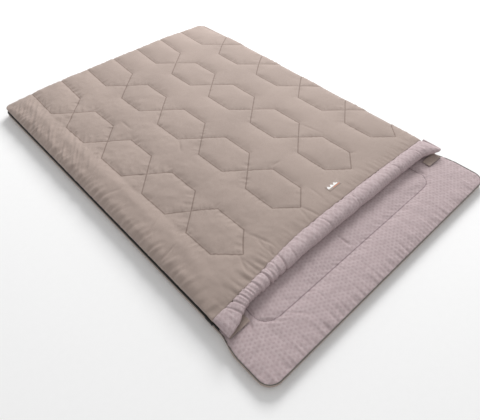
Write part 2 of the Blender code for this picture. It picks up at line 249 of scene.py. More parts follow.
def add_piece(name, bm, finish, closed=True):
    """An object from a bmesh, smooth, at the origin."""
    if closed:
        bmesh.ops.recalc_face_normals(bm, faces=bm.faces)
    for face in bm.faces:
        face.smooth = True
    mesh = bpy.data.meshes.new(name)
    bm.to_mesh(mesh)
    bm.free()
    mesh.materials.append(finish)
    piece = bpy.data.objects.new(name, mesh)
    bpy.context.scene.collection.objects.link(piece)
    return piece


def grid_bmesh(xs, ys, place, around=False):
    """A sheet on grid lines, each vertex where place puts it, with its cut as the UV map."""
    bm = bmesh.new()
    bmesh.ops.create_grid(bm, x_segments=len(xs) - 1, y_segments=len(ys) - 1, size=0.5)
    cut = [(x, y) for y in ys for x in xs]
    layer = bm.loops.layers.uv.new("cut")
    for face in bm.faces:
        for loop in face.loops:
            loop[layer].uv = cut[loop.vert.index]
    for vert, (x, y) in zip(bm.verts, cut):
        vert.co = place(x, y)
    if around:
        bmesh.ops.remove_doubles(bm, verts=bm.verts, dist=0.00005)
    return bm


def give_thickness(piece):
    """Gives a sheet the thickness of its cloth, inwards."""
    modifier = piece.modifiers.new("cloth thickness", "SOLIDIFY")
    modifier.thickness = CLOTH
    modifier.offset = -1.0
    modifier.use_even_offset = False
    modifier.use_rim = True


def split_along_stitches(mesh, amounts):
    """Splits each four-sided face that a stitch line crosses from corner to corner."""
    bm = bmesh.new()
    bm.from_mesh(mesh)
    for face in list(bm.faces):
        if len(face.verts) != 4:
            continue
        near = [amounts[vert.index] < AT_STITCH for vert in face.verts]
        for first in (0, 1):
            if near[first] and near[first + 2] and not (near[1 - first] or near[3 - first]):
                bmesh.utils.face_split(face, face.verts[first], face.verts[first + 2])
                break
    bm.to_mesh(mesh)
    bm.free()


def mark_stitches(piece, distance=None):
    """Keeps each vertex's distance from a stitch line in the cut cloth, for the finish to read when it
    paints shade along the stitch lines.
    """
    mesh = piece.data
    amounts = [1.0] * len(mesh.vertices)
    if distance:
        cut = mesh.uv_layers["cut"].data
        for loop in mesh.loops:
            if amounts[loop.vertex_index] == 1.0:
                place = cut[loop.index].uv
                amounts[loop.vertex_index] = min(FARTHEST_STITCH, distance(place.x, place.y))
    layer = mesh.attributes.new("to_stitch", "FLOAT", "POINT")
    layer.data.foreach_set("value", amounts)
    if distance:
        split_along_stitches(mesh, amounts)


def puff(piece, held, slack, limit, cut=None, bending=0.5, pressure=None, grain=0.0008):
    """Fills a cloth out between the vertices that are held.

    slack is the spare cloth at each vertex, as a share. cut says where a vertex lay in the
    cut cloth, if that isn't where it lies now.
    """
    sizes = bpy.context.scene.quilt_sizes
    mesh = piece.data
    start = [vert.co.copy() for vert in mesh.vertices]
    for vert in mesh.vertices:
        if vert.index not in held:
            vert.co += vert.normal * grain * noise.noise(vert.co * 30)
    pins = piece.vertex_groups.new(name="held")
    pins.add(sorted(held), 1.0, "REPLACE")
    most = max(slack)
    loose = piece.vertex_groups.new(name="slack")
    for index, amount in enumerate(slack):
        loose.add([index], amount / most, "REPLACE")
    if cut:
        piece.shape_key_add(name="now")
        key = piece.shape_key_add(name="cut")
        for index, place in enumerate(cut):
            key.data[index].co = place
    modifier = piece.modifiers.new("puff", "CLOTH")
    cloth = modifier.settings
    cloth.quality = 5
    cloth.mass = 0.3
    cloth.tension_stiffness = 15
    cloth.compression_stiffness = 15
    cloth.shear_stiffness = 5
    cloth.bending_stiffness = bending
    cloth.use_pressure = True
    cloth.uniform_pressure_force = sizes.puff_pressure if pressure is None else pressure
    cloth.effector_weights.gravity = 0
    cloth.vertex_group_mass = "held"
    cloth.vertex_group_shrink = "slack"
    cloth.shrink_min = 0.0
    cloth.shrink_max = -most
    if cut:
        cloth.rest_shape_key = piece.data.shape_keys.key_blocks["cut"]
    modifier.collision_settings.use_collision = False
    modifier.collision_settings.use_self_collision = False
    modifier.point_cache.frame_start = 1
    modifier.point_cache.frame_end = sizes.puff_frames
    for number in range(1, sizes.puff_frames + 1):
        bpy.context.scene.frame_set(number)
    settled = piece.evaluated_get(bpy.context.evaluated_depsgraph_get())
    made = bpy.data.meshes.new_from_object(settled)
    for vert, before in zip(made.vertices, start):
        move = vert.co - before
        if move.length > limit:
            vert.co = before + move * (limit / move.length)
    name = mesh.name
    piece.modifiers.clear()
    piece.shape_key_clear()
    piece.vertex_groups.clear()
    piece.data = made
    bpy.data.meshes.remove(mesh)
    made.name = name
    bpy.context.scene.frame_set(1)


def work_in(piece, relief):
    """Makes a filled-out cloth finer and works small folds into it.

    relief gives how far a point moves along the cloth's normal.
    """
    modifier = piece.modifiers.new("finer cloth", "SUBSURF")
    modifier.levels = 1
    settled = piece.evaluated_get(bpy.context.evaluated_depsgraph_get())
    made = bpy.data.meshes.new_from_object(settled)
    moves = [vert.normal * relief(vert.co) for vert in made.vertices]
    for vert, move in zip(made.vertices, moves):
        vert.co += move
    old = piece.data
    name = old.name
    piece.modifiers.clear()
    piece.data = made
    bpy.data.meshes.remove(old)
    made.name = name


def crease(creases, x, y):
    """How deep the deepest short fold is at a point. A crease is (start, end, depth)."""
    deep = 0.0
    for start, end, depth in creases:
        along_x, along_y = end[0] - start[0], end[1] - start[1]
        length = hypot(along_x, along_y)
        share = ((x - start[0]) * along_x + (y - start[1]) * along_y) / length**2
        if 0 < share < 1:
            away = abs((x - start[0]) * along_y - (y - start[1]) * along_x) / length
            if away < CREASE_REACH:
                deep = max(deep, depth * sin(pi * share) * smooth(CREASE_REACH, 0.0, away))
    return deep


def puckers(along, away, depth, pitch, reach):
    """Small folds that run away from a seam and die out."""
    return depth * noise.noise(Vector((along / pitch, away / (3 * reach), depth * 900))) * smooth(
        2.2 * reach, 0.0, away
    )


# Finishes


class Finish:
    """A material and short ways to add its nodes."""

    def __init__(self, name, roughness, metallic=0.0, sheen=0.0):
        self.material = bpy.data.materials.new(name)
        self.material.use_nodes = True
        self.tree = self.material.node_tree
        self.shader = self.tree.nodes["Principled BSDF"]
        self.shader.inputs["Roughness"].default_value = roughness
        self.shader.inputs["Metallic"].default_value = metallic
        self.shader.inputs["Sheen Weight"].default_value = sheen
        self.shader.inputs["Sheen Roughness"].default_value = 0.45
        self.shader.inputs["Specular IOR Level"].default_value = 0.35

    def node(self, kind, inputs=(), **settings):
        made = self.tree.nodes.new(kind)
        for key, value in settings.items():
            setattr(made, key, value)
        for key, value in dict(inputs).items():
            if isinstance(value, bpy.types.NodeSocket):
                self.tree.links.new(value, made.inputs[key])
            else:
                made.inputs[key].default_value = value
        return made

    def math(self, operation, first, second=0.0, third=0.0):
        made = self.node("ShaderNodeMath", operation=operation)
        for socket, value in zip(made.inputs, (first, second, third)):
            if isinstance(value, bpy.types.NodeSocket):
                self.tree.links.new(value, socket)
            else:
                socket.default_value = value
        return made.outputs[0]

    def mix(self, share, first, second, blend="MIX"):
        made = self.node("ShaderNodeMix", data_type="RGBA", blend_type=blend)
        for socket, value in zip((made.inputs[0], made.inputs[6], made.inputs[7]), (share, first, second)):
            if isinstance(value, bpy.types.NodeSocket):
                self.tree.links.new(value, socket)
            elif isinstance(value, (int, float)):
                socket.default_value = value
            else:
                socket.default_value = (*value, 1.0)
        return made.outputs[2]

    def ramp(self, value, low, high, to_low=0.0, to_high=1.0):
        made = self.node(
            "ShaderNodeMapRange",
            {0: value, 1: low, 2: high, 3: to_low, 4: to_high},
            interpolation_type="SMOOTHSTEP",
        )
        return made.outputs[0]

    def place(self):
        return self.node("ShaderNodeTexCoord").outputs["Object"]

    def cut(self):
        return self.node("ShaderNodeUVMap", uv_map="cut").outputs[0]

    def noise(self, where, scale, detail=2.0):
        made = self.node("ShaderNodeTexNoise", {"Vector": where, "Scale": scale, "Detail": detail})
        return made.outputs[0]

    def stripes(self, where, scale, direction, turn=(0.0, 0.0, 0.0)):
        """Fine waves across one direction, for threads."""
        laid = self.node("ShaderNodeMapping", {"Vector": where, "Rotation": turn}).outputs[0]
        made = self.node(
            "ShaderNodeTexWave",
            {"Vector": laid, "Scale": scale, "Distortion": 0.6, "Detail": 1.0},
            bands_direction=direction,
        )
        return made.outputs[1]

    def colour(self, socket):
        self.tree.links.new(socket, self.shader.inputs["Base Color"])

    def rough(self, socket):
        self.tree.links.new(socket, self.shader.inputs["Roughness"])

    def bump(self, height, distance, strength=1.0):
        """Adds fine relief under the surface."""
        made = self.node(
            "ShaderNodeBump", {"Height": height, "Distance": distance, "Strength": strength}
        )
        self.tree.links.new(made.outputs[0], self.shader.inputs["Normal"])


def weave(finish, where, threads):
    """Warp and weft threads, as a height between 0 and 1."""
    warp = finish.stripes(where, threads, "X")
    weft = finish.stripes(where, threads, "Y")
    return finish.math("MULTIPLY", finish.math("ADD", warp, weft), 0.5)


def outer_cloth():
    """Brushed taupe microfibre: soft, matt, with painted shade darkening it along its stitch creases."""
    colours = bpy.context.scene.quilt_colours
    finish = Finish("brushed_outer_cloth", roughness=0.82, sheen=0.12)
    where = finish.place()
    tone = tuple(colours.outer)
    cloudy = finish.ramp(finish.noise(where, 3.2, 3.0), 0.35, 0.65)
    base = finish.mix(cloudy, tuple(0.965 * c for c in tone), tuple(1.03 * c for c in tone))
    brushed = finish.ramp(finish.noise(where, 420.0, 2.0), 0.3, 0.7)
    base = finish.mix(brushed, base, finish.mix(1.0, base, (0.93, 0.93, 0.93), "MULTIPLY"))
    # Painted shade: the cloth is darkened towards its stitch lines, where the sunk creases lie in shade.
    away = finish.node("ShaderNodeAttribute", attribute_name="to_stitch").outputs["Fac"]
    stitch_crease_shade = finish.ramp(away, 0.0008, 0.0045, 1.0, 0.0)
    base = finish.mix(stitch_crease_shade, base, finish.mix(1.0, base, (0.60, 0.57, 0.55), "MULTIPLY"))
    finish.colour(base)
    finish.rough(finish.ramp(brushed, 0.0, 1.0, 0.76, 0.90))
    nap = finish.math("ADD", weave(finish, where, 520.0), finish.math("MULTIPLY", brushed, 0.8))
    finish.bump(nap, 0.0004, 0.5)
    return finish.material


def lining_cloth():
    """Lilac cotton blend with a pale printed lattice that follows the cloth, and painted shade along its
    stitch lines.
    """
    colours = bpy.context.scene.quilt_colours
    finish = Finish("printed_lining", roughness=0.86, sheen=0.08)
    cut = finish.cut()
    axes = finish.node("ShaderNodeSeparateXYZ", {0: cut})
    across, along = axes.outputs[0], axes.outputs[1]
    lines = None
    slant = sqrt(3)
    for family in ((1.0, 0.0), (0.5, slant / 2), (0.5, -slant / 2)):
        reach = finish.math(
            "ADD",
            finish.math("MULTIPLY", across, family[0]),
            finish.math("MULTIPLY", along, family[1]),
        )
        for pitch, shift, width in ((0.0155, 0.0, 0.09), (0.0155, 0.24, 0.055)):
            share = finish.math("FRACT", finish.math("ADD", finish.math("DIVIDE", reach, pitch), shift))
            away = finish.math("ABSOLUTE", finish.math("SUBTRACT", share, 0.5))
            drawn = finish.ramp(away, width * 0.6, width * 1.4, 1.0, 0.0)
            lines = drawn if lines is None else finish.math("MAXIMUM", lines, drawn)
    worn = finish.ramp(finish.noise(cut, 55.0, 2.0), 0.30, 0.62, 0.35, 1.0)
    lines = finish.math("MULTIPLY", lines, worn)
    tone = tuple(colours.lining)
    cloudy = finish.ramp(finish.noise(cut, 5.0, 3.0), 0.35, 0.65)
    base = finish.mix(cloudy, tuple(0.96 * c for c in tone), tuple(1.03 * c for c in tone))
    base = finish.mix(lines, base, tuple(colours.lining_print))
    # Painted shade: the lining is darkened towards its stitched ring, where the sunk crease lies in shade.
    away = finish.node("ShaderNodeAttribute", attribute_name="to_stitch").outputs["Fac"]
    stitch_crease_shade = finish.ramp(away, 0.0006, 0.0038, 1.0, 0.0)
    base = finish.mix(stitch_crease_shade, base, finish.mix(1.0, base, (0.55, 0.52, 0.54), "MULTIPLY"))
    threads = weave(finish, cut, 420.0)
    base = finish.mix(threads, finish.mix(1.0, base, (0.94, 0.94, 0.94), "MULTIPLY"), base)
    finish.colour(base)
    finish.rough(finish.ramp(threads, 0.0, 1.0, 0.80, 0.92))
    finish.bump(threads, 0.0004, 0.5)
    return finish.material


def wadding():
    """Loose hollow fibre."""
    finish = Finish("hollow_fibre", roughness=0.95, sheen=0.3)
    where = finish.place()
    fluff = finish.noise(where, 180.0, 5.0)
    finish.colour(finish.mix(fluff, (0.70, 0.70, 0.68), (0.92, 0.92, 0.90)))
    finish.bump(fluff, 0.003, 0.8)
    return finish.material


def twisted_piping():
    """Dark woven cord casing."""
    finish = Finish("piping_weave", roughness=0.7, sheen=0.1)
    where = finish.place()
    tone = tuple(bpy.context.scene.quilt_colours.piping)
    ribs = finish.stripes(where, 180.0, "DIAGONAL", (0.0, 0.4, 0.3))
    speckle = finish.noise(where, 260.0, 2.0)
    shade = finish.math("MULTIPLY", ribs, speckle)
    finish.colour(finish.mix(shade, tuple(0.7 * c for c in tone), tuple(1.9 * c for c in tone)))
    finish.bump(ribs, 0.0006, 0.7)
    return finish.material


def zip_tape_weave():
    """Woven zip tape with ribs along the zip."""
    finish = Finish("zip_tape_weave", roughness=0.8)
    where = finish.place()
    tone = tuple(bpy.context.scene.quilt_colours.zips)
    ribs = finish.stripes(where, 260.0, "Z")
    knit = finish.stripes(where, 330.0, "Y")
    both = finish.math("MULTIPLY", finish.math("ADD", ribs, knit), 0.5)
    finish.colour(finish.mix(both, tuple(1.2 * c for c in tone), tuple(2.8 * c for c in tone)))
    finish.bump(both, 0.0004, 0.8)
    return finish.material


def moulded_nylon():
    """Black nylon coil."""
    finish = Finish("coil_nylon", roughness=0.42)
    tone = tuple(bpy.context.scene.quilt_colours.zips)
    speckle = finish.noise(finish.place(), 600.0, 2.0)
    finish.colour(finish.mix(speckle, tone, tuple(1.8 * c for c in tone)))
    finish.rough(finish.ramp(speckle, 0.3, 0.7, 0.34, 0.52))
    finish.bump(speckle, 0.0001, 0.5)
    return finish.material


def black_enamel():
    """Satin enamel over cast zinc, with a little wear."""
    finish = Finish("black_enamel", roughness=0.38, metallic=0.75)
    where = finish.place()
    speckle = finish.noise(where, 900.0, 3.0)
    wear = finish.ramp(finish.noise(where, 240.0, 4.0), 0.60, 0.72)
    worn = finish.mix(wear, (0.035, 0.035, 0.036), (0.16, 0.155, 0.15))
    finish.colour(worn)
    finish.rough(finish.ramp(speckle, 0.2, 0.8, 0.30, 0.48))
    finish.bump(speckle, 0.00008, 0.4)
    return finish.material


def grip_tape():
    """Hook or loop tape: dense dark fuzz."""
    finish = Finish("grip_tape", roughness=0.9, sheen=0.3)
    where = finish.place()
    fuzz = finish.noise(where, 900.0, 3.0)
    finish.colour(finish.mix(fuzz, (0.10, 0.088, 0.080), (0.27, 0.245, 0.23)))
    finish.bump(fuzz, 0.0008, 0.9)
    return finish.material


def woven_badge():
    """A taupe woven label with a plain row of white peaks over an orange bar."""
    finish = Finish("woven_badge", roughness=0.6, sheen=0.1)
    cut = finish.cut()
    axes = finish.node("ShaderNodeSeparateXYZ", {0: cut})
    across, along = axes.outputs[0], axes.outputs[1]
    threads = weave(finish, cut, 700.0)

    def band(value, low, high):
        rising = finish.ramp(value, low, low + 0.0006)
        return finish.math("MULTIPLY", rising, finish.ramp(value, high, high + 0.0006, 1.0, 0.0))

    peak_pitch = 0.021
    share = finish.math("FRACT", finish.math("DIVIDE", across, peak_pitch))
    aside = finish.math("ABSOLUTE", finish.math("SUBTRACT", share, 0.5))
    top = finish.math("SUBTRACT", 0.027, finish.math("MULTIPLY", aside, 0.022))
    under_top = finish.ramp(finish.math("SUBTRACT", top, along), 0.0, 0.0006)
    peaks = finish.math("MULTIPLY", under_top, band(along, 0.0105, 0.030))
    peaks = finish.math("MULTIPLY", peaks, band(across, 0.003, 0.066))
    bar = finish.math("MULTIPLY", band(along, 0.0040, 0.0075), band(across, 0.030, 0.074))
    ground = tuple(bpy.context.scene.quilt_colours.outer)
    base = finish.mix(threads, tuple(0.85 * c for c in ground), tuple(1.05 * c for c in ground))
    base = finish.mix(peaks, base, finish.mix(threads, (0.84, 0.83, 0.81), (0.95, 0.94, 0.93)))
    base = finish.mix(bar, base, (0.66, 0.21, 0.09))
    finish.colour(base)
    finish.bump(threads, 0.0003, 0.6)
    return finish.material


FINISHES = {
    "outer": outer_cloth,
    "lining": lining_cloth,
    "wadding": wadding,
    "piping": twisted_piping,
    "tape": zip_tape_weave,
    "nylon": moulded_nylon,
    "enamel": black_enamel,
    "grip": grip_tape,
    "badge": woven_badge,
}
_made = {}


def finish_of(name):
    """The finish's material, made once."""
    if name not in _made:
        _made[name] = FINISHES[name]()
    return _made[name]


def dress(node, name):
    """Gives a CAD node's object a finish."""
    piece = frame["nodes"][node]
    piece.data.materials.clear()
    piece.data.materials.append(finish_of(name))


# How the cloths lie


def edge_curve(distance):
    """The outer cloth's edge at a distance along it from the seam: (inset, height above it)."""
    if distance < SEAM_RUN:
        turn = pi / 2 * max(0.0, distance) / SEAM_RUN
        return SEAM_INSET * (1 - sin(turn)), BULGE_DROP * (1 - cos(turn))
    if distance < SEAM_RUN + EDGE_RUN:
        turn = pi / 2 * (distance - SEAM_RUN) / EDGE_RUN
        rise = COVER_Z - SEAM_Z - BULGE_DROP
        return EDGE_ROUND * (1 - cos(turn)), BULGE_DROP + rise * sin(turn)
    return None


def round_corner(x, y, high_x, high_y, radius):
    """Where a point near a square corner lies once the corner is round, and the way out.

    Returns (x, y, way out, distance from the outline).
    """
    side = 1 if x >= 0 else -1
    over_x = (abs(x) - (high_x - radius)) / radius
    over_y = (y - (high_y - radius)) / radius
    if over_x > 0 and over_y > 0:
        flat_x = over_x * sqrt(max(0.0, 1 - over_y * over_y / 2))
        flat_y = over_y * sqrt(max(0.0, 1 - over_x * over_x / 2))
        reach = max(hypot(flat_x, flat_y), 1e-9)
        way = Vector((side * flat_x / reach, flat_y / reach))
        place_x = side * (high_x - radius + flat_x * radius)
        return place_x, high_y - radius + flat_y * radius, way, radius * (1 - reach)
    to_side = high_x - abs(x)
    to_end = high_y - y
    if to_side < to_end:
        return x, y, Vector((side, 0)), to_side
    return x, y, Vector((0, 1)), to_end


def outer_point(x, y, head_round):
    """An outer cloth's point above its seam, from its place in the cut cloth: (x, y, height)."""
    if head_round and y < 0:
        middle = (FOOT_Y + HEAD_Y) / 2
        high = FOOT_Y - middle + SPARE
        px, py, way, distance = round_corner(
            x, 2 * middle - y - middle, EDGE_X + SPARE, high, HEAD_CORNER + SPARE
        )
        py = middle - py
        way = Vector((way.x, -way.y))
    else:
        px, py, way, distance = round_corner(x, y, EDGE_X + SPARE, FOOT_Y + SPARE, FOOT_CORNER + SPARE)
    curve = edge_curve(distance)
    if curve is None:
        return px, py, COVER_Z - SEAM_Z
    shift = distance - SPARE - curve[0]
    return px + way.x * shift, py + way.y * shift, curve[1]


def head_flare(x, y):
    """The bottom quilt widens a little where it lies free at the head."""
    share = smooth(FLARE_START, FLARE_START - FLARE_LENGTH, y) if y < FLARE_START else 0.0
    return x * (1 + FLARE * share / EDGE_X)


def cover_fullness(x, y):
    """How full the cover lies: it thins towards its left edge and its foot corners."""
    left = smooth(0.0, 0.17, x + EDGE_X)
    right = smooth(0.0, 0.09, EDGE_X - x)
    corner = hypot(EDGE_X - abs(x), FOOT_Y - y)
    full = 1 - 0.55 * (1 - left) - 0.06 * (1 - right)
    return full * (1 - 0.62 * (1 - smooth(0.0, 0.36, corner)))


def cover_drift(x, y):
    """How hand-laid quilting drifts from an even grid, and how the cuff seam dips leftwards."""
    bow = -0.027 * ((x - 0.10) / 0.52) ** 2 * smooth(-0.6, -0.1, y) * smooth(FOOT_Y, 0.7, y)
    inner = smooth(0.0, 0.12, EDGE_X - abs(x))
    shear = -0.020 * y * inner * smooth(FOOT_Y, 0.7, y)
    dip = -(0.050 * smooth(-0.15, -0.72, x) + 0.012 * smooth(0.2, 0.7, x)) * smooth(-0.50, -0.69, y)
    return shear, bow + dip


def hexagon_half(y):
    """Half the hexagon's width at a height, or None past the last point."""
    sizes = bpy.context.scene.quilt_sizes
    down = sizes.first_crossing - y
    if down < -sizes.point_height:
        return sizes.half_width
    last = 4 * sizes.row_pitch
    if down > last + 1e-4:
        return None
    part = down % sizes.row_pitch
    near = min(part, sizes.row_pitch - part) if down > 0 else -down
    return sizes.half_width * min(1.0, near / sizes.point_height)


def hexagon_columns():
    sizes = bpy.context.scene.quilt_sizes
    return [sizes.first_column + k * sizes.column_pitch for k in range(4)]


CUFF_SEAM_Y = CUFF_HIGH.y + 0.006
CUFF_CUT = 0.20  # cloth from the cuff's top seam round to the lining
COIL_PITCH = 0.0026  # from one tooth to the next
JOIN_CLOTH = 0.0006  # thickness of the cloth that joins the quilts
BADGE_CLOTH = 0.0009


def cover_lines():
    """Grid lines of the cover's outer cloth, which fall on every stitch line."""
    sizes = bpy.context.scene.quilt_sizes
    half = sizes.half_width
    runs = []
    cells = 17
    for column in hexagon_columns():
        runs += [(column - half, cells), (column, 8), (column + half, 8)]
        cells = 15
    across = stops(-EDGE_X - SPARE, *runs, (EDGE_X + SPARE, 3))
    crossing = sizes.first_crossing - 4 * sizes.row_pitch
    runs = [(crossing, 10)]
    for _ in range(4):
        upper = crossing + sizes.row_pitch
        runs += [(crossing + sizes.point_height, 8), (upper - sizes.point_height, 17), (upper, 8)]
        crossing = upper
    along = stops(CUFF_SEAM_Y, *runs, (crossing + sizes.point_height, 8), (FOOT_Y + SPARE, 28))
    return across, along


def place_cover(x, y):
    """A point of the cover's outer cloth before it fills out."""
    px, py, height = outer_point(x, y, head_round=False)
    dx, dy = cover_drift(px, py)
    dip = 0.004 * smooth(CUFF_SEAM_Y + 0.02, CUFF_SEAM_Y, y)
    return Vector((px + dx, py + dy, SEAM_Z + height * cover_fullness(px, py) - dip))


class QUILT_OT_stage(bpy.types.Operator):
    """Make the floor, the lights and the camera"""

    bl_idname = "camp_quilt.stage"
    bl_label = "Stage"

    def execute(self, context):
        scene = context.scene
        stage = scene.quilt_stage
        bm = bmesh.new()
        bmesh.ops.create_grid(bm, x_segments=1, y_segments=1, size=30.0)
        finish = Finish("pale_floor", roughness=0.9)
        grain = finish.noise(finish.place(), 40.0, 2.0)
        finish.colour(finish.mix(grain, (0.93, 0.93, 0.93), (0.95, 0.95, 0.95)))
        floor_piece = add_piece("floor", bm, finish.material, closed=False)
        floor_piece.location.z = -0.0005

        world = bpy.data.worlds.new("studio")
        world.use_nodes = True
        sky = world.node_tree.nodes["Background"]
        sky.inputs["Color"].default_value = (1.0, 1.0, 1.0, 1.0)
        sky.inputs["Strength"].default_value = stage.sky
        scene.world = world
        lamp = bpy.data.lights.new("soft_key", "AREA")
        lamp.energy = stage.key
        lamp.size = 2.7
        key = bpy.data.objects.new("soft_key", lamp)
        key.location = stage.lamp
        key.rotation_mode = "QUATERNION"
        key.rotation_quaternion = (-Vector(stage.lamp)).to_track_quat("-Z", "Y")
        scene.collection.objects.link(key)

        camera = bpy.data.cameras.new("camera")
        camera.lens = stage.lens
        camera.sensor_width = 36.0
        eye = bpy.data.objects.new("camera", camera)
        eye.location = stage.eye
        eye.rotation_mode = "QUATERNION"
        eye.rotation_quaternion = (Vector(stage.aim) - Vector(stage.eye)).to_track_quat("-Z", "Y")
        scene.collection.objects.link(eye)
        scene.camera = eye
        scene.view_settings.view_transform = "Standard"
        return {"FINISHED"}


def nearest_line(x, y):
    """The distance to the nearest quilting line, and how far along it a point lies."""
    sizes = bpy.context.scene.quilt_sizes
    half = hexagon_half(y)
    if half is None:
        return 1.0, 0.0
    slope = (hexagon_half(y + 0.001) or half) - half
    slope /= 0.001
    size = sqrt(1 + slope * slope)
    best = (1.0, 0.0)
    for column in hexagon_columns():
        if abs(x - column) > sizes.half_width + 0.09:
            continue
        for side in (-1, 1):
            away = abs(x - column - side * half) / size
            if away < best[0]:
                best = (away, (y + side * slope * (x - column)) / size + column + side)
    return best


COVER_CREASES = (
    ((-0.375, -0.345), (-0.320, -0.347), 0.0035),
    ((0.005, -0.332), (0.065, -0.338), 0.0035),
    ((0.160, -0.330), (0.185, -0.352), 0.0025),
    ((0.345, -0.520), (0.385, -0.545), 0.0025),
    ((-0.255, 0.035), (-0.195, 0.125), 0.0050),
    ((-0.330, 0.350), (-0.325, 0.465), 0.0040),
    ((-0.455, -0.595), (-0.500, -0.705), 0.0050),
    ((-0.468, -0.610), (-0.455, -0.715), 0.0045),
    ((-0.365, -0.535), (-0.318, -0.690), 0.0050),
    ((-0.345, -0.580), (-0.375, -0.690), 0.0035),
    ((-0.090, -0.590), (-0.060, -0.705), 0.0040),
    ((-0.095, -0.590), (-0.120, -0.690), 0.0035),
    ((0.030, -0.540), (0.020, -0.660), 0.0025),
    ((0.345, -0.190), (0.375, -0.345), 0.0025),
    ((-0.720, -0.415), (-0.600, -0.395), 0.0040),
    ((-0.720, -0.300), (-0.560, -0.225), 0.0035),
    ((-0.715, 0.060), (-0.585, 0.015), 0.0035),
    ((-0.700, 0.180), (-0.570, 0.240), 0.0040),
)


def cover_folds(co):
    """Small folds of the cover's outer cloth: puckers at the seams and slanting folds at the left."""
    x, y = co.x, co.y
    away, along = nearest_line(x, y)
    left = smooth(0.15, -0.50, x)
    amount = puckers(along, away, 0.0020 + 0.0022 * left, 0.014, 0.016)
    to_left, to_right, to_foot = EDGE_X + x, EDGE_X - x, FOOT_Y - y
    to_cuff = y - CUFF_SEAM_Y - cover_drift(x, CUFF_SEAM_Y)[1]
    amount += puckers(y + 0.3 * to_left, to_left, 0.0062, 0.019, 0.050)
    amount += puckers(y, to_right, 0.0034, 0.017, 0.035)
    amount += puckers(x, to_foot, 0.0026, 0.020, 0.045)
    gather = smooth(-0.66, -0.52, x) * smooth(-0.28, -0.40, x)
    amount += puckers(x + 0.2 * to_cuff, to_cuff, 0.0030 + 0.0060 * gather, 0.018, 0.045)
    band = smooth(-0.72, -0.68, x) * smooth(-0.50, -0.60, x) * smooth(0.10, 0.34, y) * smooth(1.03, 0.92, y)
    slant = noise.noise(Vector(((x - 0.75 * y) / 0.017, (x + y) / 0.16, 3.0)))
    amount += 0.0062 * band * slant
    amount += 0.0017 * (0.4 + left) * ripple(co, 0.055, 1.0) + 0.0009 * (0.4 + left) * ripple(co, 0.024, 2.0)
    held = smooth(0.0, 0.010, min(to_left, to_right, to_foot + 0.004, to_cuff))
    held *= smooth(0.02, 0.09, hypot(EDGE_X - abs(x), to_foot))
    return held * (amount - crease(COVER_CREASES, x, y))


class QUILT_OT_cover_cloth(bpy.types.Operator):
    """Make the cover's quilted outer cloth"""

    bl_idname = "camp_quilt.cover_cloth"
    bl_label = "Cover outer cloth"

    def execute(self, context):
        sizes = context.scene.quilt_sizes
        across, along = cover_lines()
        bm = grid_bmesh(across, along, place_cover)
        piece = add_piece("cover_outer_cloth", bm, finish_of("outer"), closed=False)
        columns = hexagon_columns()
        stitched = set()
        held = set()
        slack = []
        cut = []
        mesh = piece.data
        for index, vert in enumerate(mesh.vertices):
            x = across[index % len(across)]
            y = along[index // len(across)]
            half = hexagon_half(y)
            if half is not None:
                if any(abs(abs(x - column) - half) < 0.0002 for column in columns):
                    stitched.add(index)
            if x in (across[0], across[-1]) or y in (along[0], along[-1]):
                held.add(index)
            share = smooth(0.25, -0.45, x)
            slack.append(sizes.slack_right + share * (sizes.slack_left - sizes.slack_right))
            shear = 0.055 * smooth(-0.35, 0.35, y) * min(0.0, x + 0.55) + 0.010 * min(0.0, x)
            cut.append(vert.co - Vector((0, shear, 0)))
        for index in stitched - held:
            mesh.vertices[index].co.z -= sizes.stitch_depth
        puff(piece, held | stitched, slack, limit=0.014, cut=cut)
        work_in(piece, cover_folds)
        mark_stitches(piece, lambda x, y: nearest_line(x, y)[0])
        give_thickness(piece)
        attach(piece, "cover_quilt")
        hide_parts("top_outer_shell")
        return {"FINISHED"}


def cuff_section(turn):
    """A flattened roll's outline at a turn, as shares of its half depth and half height."""
    power = 2 / 2.7
    across = abs(cos(turn)) ** power * (1 if cos(turn) >= 0 else -1)
    up = abs(sin(turn)) ** power * (1 if sin(turn) >= 0 else -1)
    return across, up


def place_cuff(x, v):
    """A point of the cuff: x across the bag, v from its top seam round the front to the lining."""
    turn = pi * (0.17 + v * 1.63)
    across, up = cuff_section(turn)
    left = smooth(-0.56, -0.70, x)
    right = smooth(0.60, 0.72, x)
    end = max(0.0, (abs(x) - (EDGE_X - 0.030)) / 0.028)
    thin = sqrt(max(0.0, 1 - 0.998 * end * end))
    seam_y = CUFF_SEAM_Y + cover_drift(x, CUFF_SEAM_Y)[1]
    front_y = CUFF_LOW.y - 0.004 + 0.005 * ripple((x, 0), 0.14, 3.0) - 0.048 * left - 0.036 * right
    if x > 0:
        front_y += 0.026 * (1 - sqrt(max(0.0, 1 - end * end)))
    low_z = CUFF_LOW.z + 0.002 + 0.008 * right
    high_z = COVER_Z + 0.0065 - 0.012 * left - 0.006 * right
    half_depth = (seam_y - front_y) / (1 + cuff_section(pi * 0.17)[0])
    middle_y = front_y + half_depth
    half_height = (high_z - low_z) / 2 * thin
    middle_z = (high_z + low_z) / 2 - 0.006 * end
    spread = 0.022 * right * smooth(0.0, 0.5, v)
    return Vector((x + spread, middle_y + half_depth * across, middle_z + half_height * up))


CUFF_GATHERS = (
    (-0.645, 0.0035, 0.45),
    (-0.610, 0.0040, 0.40),
    (-0.578, 0.0045, 0.30),
    (-0.545, 0.0040, 0.22),
    (-0.508, 0.0035, 0.15),
    (-0.452, 0.0065, 0.08),
    (-0.430, 0.0035, 0.00),
    (-0.398, 0.0040, -0.10),
    (-0.358, 0.0055, -0.18),
    (-0.300, 0.0020, -0.20),
    (-0.075, 0.0035, 0.10),
    (0.115, 0.0030, -0.20),
    (0.430, 0.0025, 0.15),
    (0.600, 0.0030, 0.30),
)


